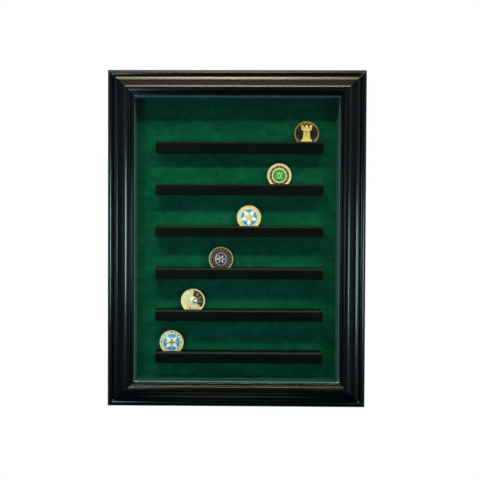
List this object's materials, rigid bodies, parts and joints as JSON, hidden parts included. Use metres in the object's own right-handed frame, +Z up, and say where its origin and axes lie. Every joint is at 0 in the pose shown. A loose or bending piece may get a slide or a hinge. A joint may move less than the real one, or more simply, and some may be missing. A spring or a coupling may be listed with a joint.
{
  "type": "coin display case",
  "caption": "Wall-hung glazed display case: hinged black moulded door, suede back board, grooved ledges holding enamelled coins on edge.",
  "frame": {"origin": "on the wall plane, middle of the rear face of the back frame's top rail", "axes": "+Y out of the case's back into the wall, the glazed front faces -Y, +Z up, +X right seen from the front"},
  "size_m": [0.4, 0.06, 0.522],
  "materials": {
    "black_lacquer": "satin black lacquer over moulded wood",
    "black_wood": "matt black paint",
    "hardboard": "bare hardboard",
    "green_suede": "mottled suede nap",
    "ledge_black": "matt black",
    "clear_glass": "clear float glass",
    "black_steel": "black hinge steel",
    "bright_steel": "zinc-plated steel",
    "coin_gold": "gold-plated brass with enamel fields",
    "coin_bronze": "bronze-plated brass with enamel fields"
  },
  "bodies": {
    "cabinet": {"back_frame_top_rail": "black_wood", "back_frame_bottom_rail": "black_wood", "back_frame_left_stile": "black_wood", "back_frame_right_stile": "black_wood", "back_panel": "hardboard", "display_board": "black_wood", "suede_backing": "green_suede", "liner_top": "green_suede", "liner_bottom": "green_suede", "liner_left": "green_suede", "liner_right": "green_suede", "keyhole_hanger_left": "bright_steel", "keyhole_hanger_right": "bright_steel", "magnet_upper": "bright_steel", "magnet_lower": "bright_steel", "hinge_upper_frame_leaf": "black_steel", "hinge_upper_pin": "bright_steel", "hinge_lower_frame_leaf": "black_steel", "hinge_lower_pin": "bright_steel", "panel_screw_1": "bright_steel", "panel_screw_2": "bright_steel", "panel_screw_3": "bright_steel", "panel_screw_4": "bright_steel", "panel_screw_5": "bright_steel", "panel_screw_6": "bright_steel", "coin_ledge_1": "ledge_black", "coin_ledge_2": "ledge_black", "coin_ledge_3": "ledge_black", "coin_ledge_4": "ledge_black", "coin_ledge_5": "ledge_black", "coin_ledge_6": "ledge_black"},
    "door": {"door_top_rail": "black_lacquer", "door_bottom_rail": "black_lacquer", "door_hinge_stile": "black_lacquer", "door_latch_stile": "black_lacquer", "glass_pane": "clear_glass", "glass_strip_top": "green_suede", "glass_strip_bottom": "green_suede", "glass_strip_left": "green_suede", "glass_strip_right": "green_suede", "mitre_nail_upper_left": "bright_steel", "mitre_nail_upper_right": "bright_steel", "mitre_nail_lower_left": "bright_steel", "mitre_nail_lower_right": "bright_steel", "hinge_upper_door_leaf": "black_steel", "hinge_lower_door_leaf": "black_steel", "strike_disc_upper": "bright_steel", "strike_disc_lower": "bright_steel"},
    "coin_1": {"coin_1": "coin_gold"},
    "coin_2": {"coin_2": "coin_gold"},
    "coin_3": {"coin_3": "coin_gold"},
    "coin_4": {"coin_4": "coin_bronze"},
    "coin_5": {"coin_5": "coin_gold"},
    "coin_6": {"coin_6": "coin_gold"}
  },
  "joints": [
    {"name": "door_hinge", "type": "hinge", "parent": "cabinet", "child": "door", "pos_m": [-0.1896, -0.021, -0.23725], "axis": [0, 0, -1], "range_deg": [0, 105]},
    {"name": "coin_1_slide", "type": "slide", "parent": "cabinet", "child": "coin_1", "axis": [1, 0, 0], "range_m": [-0.21289, 0.00501]},
    {"name": "coin_2_slide", "type": "slide", "parent": "cabinet", "child": "coin_2", "axis": [1, 0, 0], "range_m": [-0.17105, 0.04685]},
    {"name": "coin_3_slide", "type": "slide", "parent": "cabinet", "child": "coin_3", "axis": [1, 0, 0], "range_m": [-0.1242, 0.0937]},
    {"name": "coin_4_slide", "type": "slide", "parent": "cabinet", "child": "coin_4", "axis": [1, 0, 0], "range_m": [-0.08106, 0.13684]},
    {"name": "coin_5_slide", "type": "slide", "parent": "cabinet", "child": "coin_5", "axis": [1, 0, 0], "range_m": [-0.0377, 0.1802]},
    {"name": "coin_6_slide", "type": "slide", "parent": "cabinet", "child": "coin_6", "axis": [1, 0, 0], "range_m": [-0.00458, 0.21332]}
  ]
}
